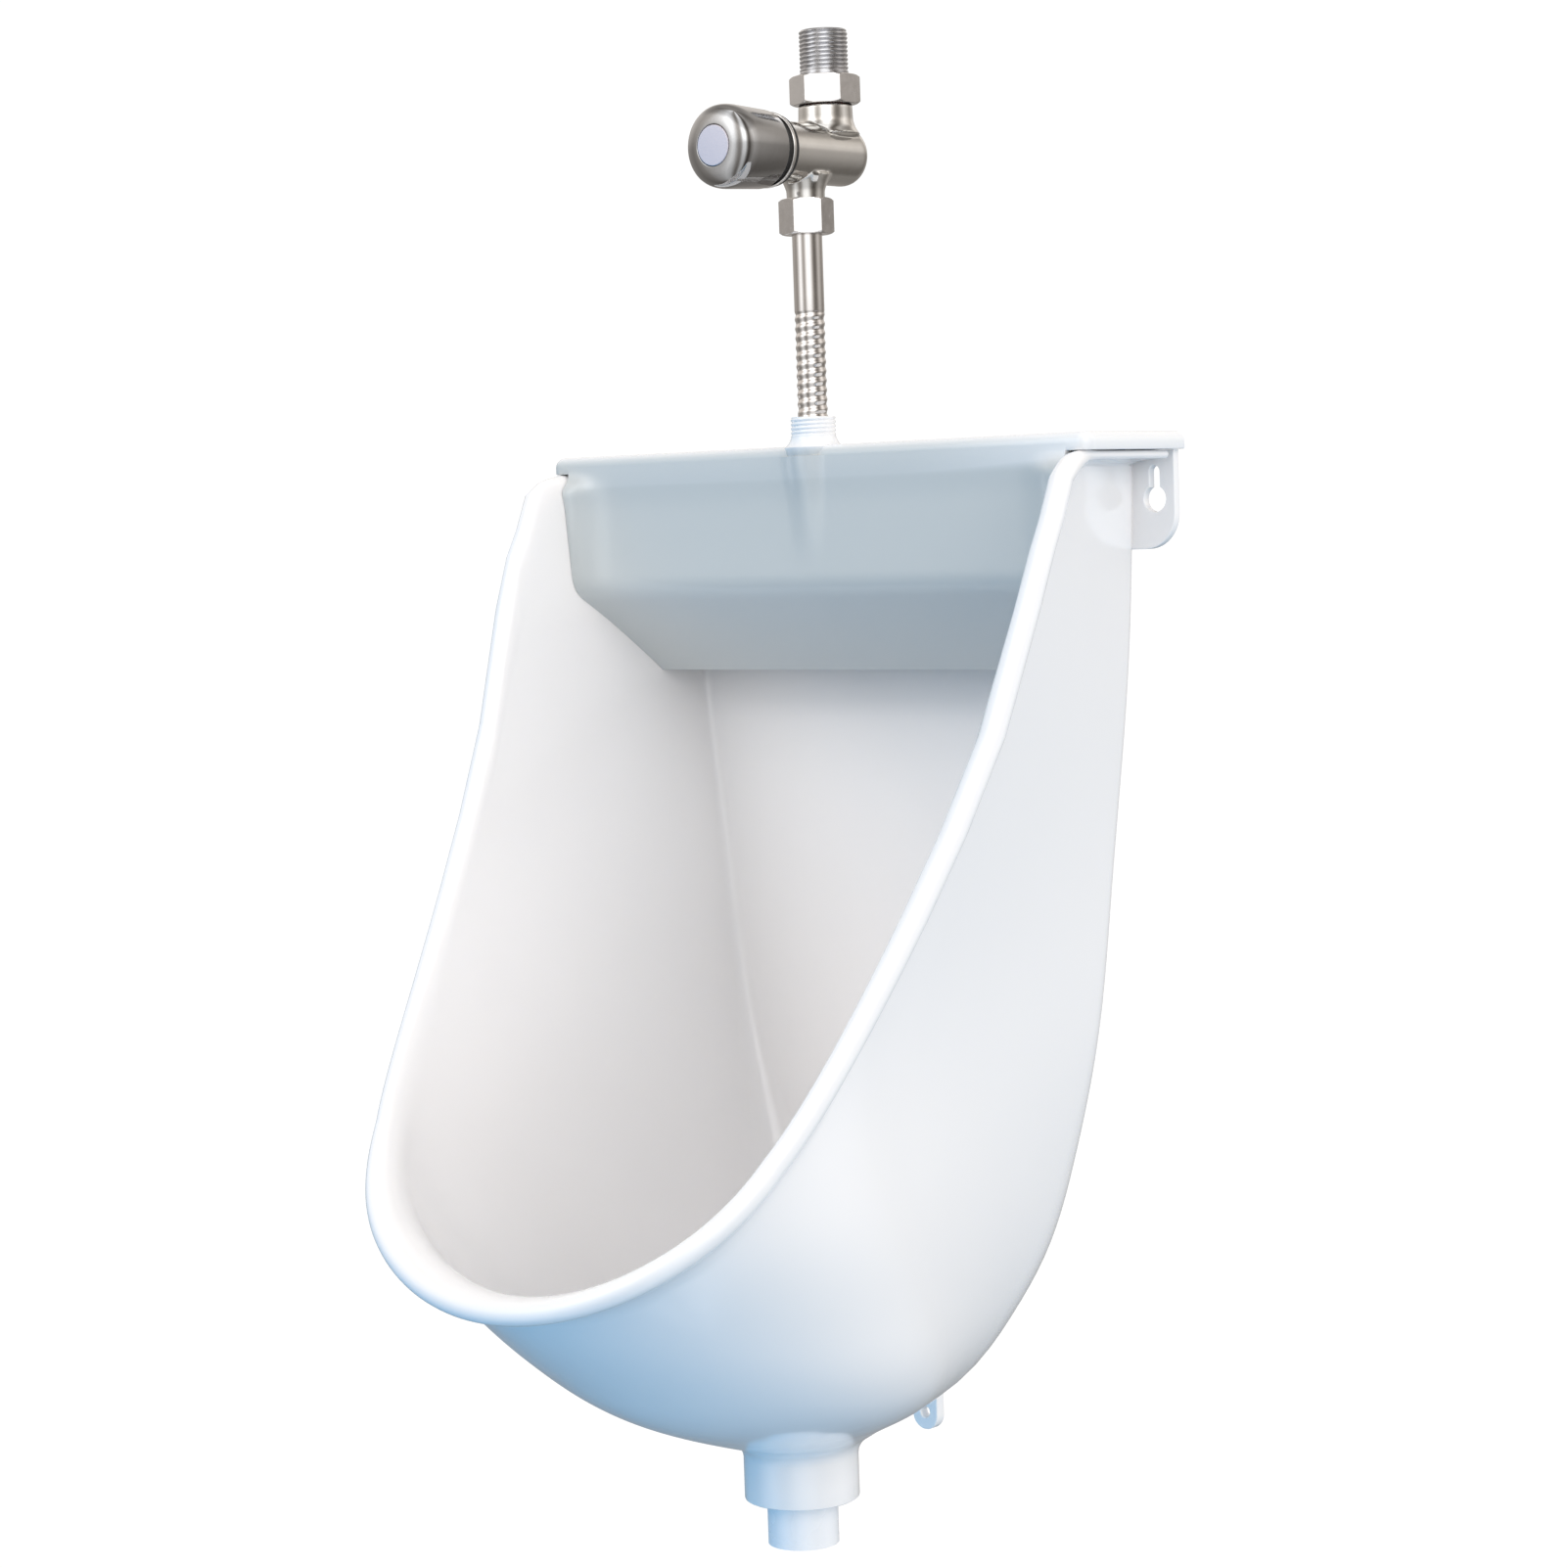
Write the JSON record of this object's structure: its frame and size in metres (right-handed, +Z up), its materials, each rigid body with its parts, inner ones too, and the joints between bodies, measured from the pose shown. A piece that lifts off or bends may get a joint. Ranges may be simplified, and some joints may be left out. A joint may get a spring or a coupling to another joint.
{
  "type": "wall hung urinal",
  "caption": "Wall hung plastic urinal bowl with rolled rim, screwed ears, flush hood, drain spigot and a push button flush valve on a short grooved pipe.",
  "frame": {"origin": "on the wall plane, midway between the two upper wall screw holes", "axes": "+X to the right for a person facing the urinal, +Y into the wall, +Z up"},
  "size_m": [0.3034, 0.2855, 0.6528],
  "materials": {
    "white_plastic": "glossy moulded ABS",
    "hood_plastic": "glossy moulded ABS, thin walled",
    "strainer_steel": "satin stainless",
    "reducer_plastic": "satin moulded",
    "black_rubber": "matte black",
    "pipe_steel": "polished",
    "ferrule_brass": "turned",
    "fibre_washer": "red fibre",
    "nut_chrome": "polished",
    "body_chrome": "polished over cast brass",
    "thread_chrome": "polished",
    "valve_brass": "machined",
    "bonnet_chrome": "polished",
    "knob_chrome": "polished",
    "badge_plastic": "smooth, plain",
    "screw_steel": "zinc plated",
    "stem_brass": "turned",
    "piston_plastic": "acetal",
    "spring_steel": "drawn wire"
  },
  "bodies": {
    "urinal": {"bowl_shell": "white_plastic", "flush_hood": "hood_plastic", "drain_strainer": "strainer_steel", "outlet_reducer": "reducer_plastic", "reducer_ring": "black_rubber", "flush_pipe": "pipe_steel", "spud_seal": "black_rubber", "pipe_ferrule": "ferrule_brass", "outlet_washer": "fibre_washer", "outlet_nut": "nut_chrome", "valve_body": "body_chrome", "inlet_washer": "fibre_washer", "inlet_tailpiece": "thread_chrome", "inlet_filter": "strainer_steel", "inlet_union_nut": "nut_chrome", "valve_seat": "valve_brass", "bonnet_gasket": "black_rubber", "bonnet": "bonnet_chrome", "stem_o_ring": "black_rubber", "knob_sleeve": "black_rubber", "return_spring": "spring_steel"},
    "button": {"push_knob": "knob_chrome", "knob_badge": "badge_plastic", "knob_screw": "screw_steel", "plunger_stem": "stem_brass", "damping_piston": "piston_plastic", "piston_cup_seal": "black_rubber", "poppet_washer": "black_rubber", "poppet": "valve_brass"}
  },
  "joints": [
    {"name": "knob_press", "type": "slide", "parent": "urinal", "child": "button", "axis": [0, 1, 0], "range_m": [0, 0.0032], "stiffness_N_per_m": 2500, "springref_m": -0.004, "deforming": ["return_spring"]}
  ]
}
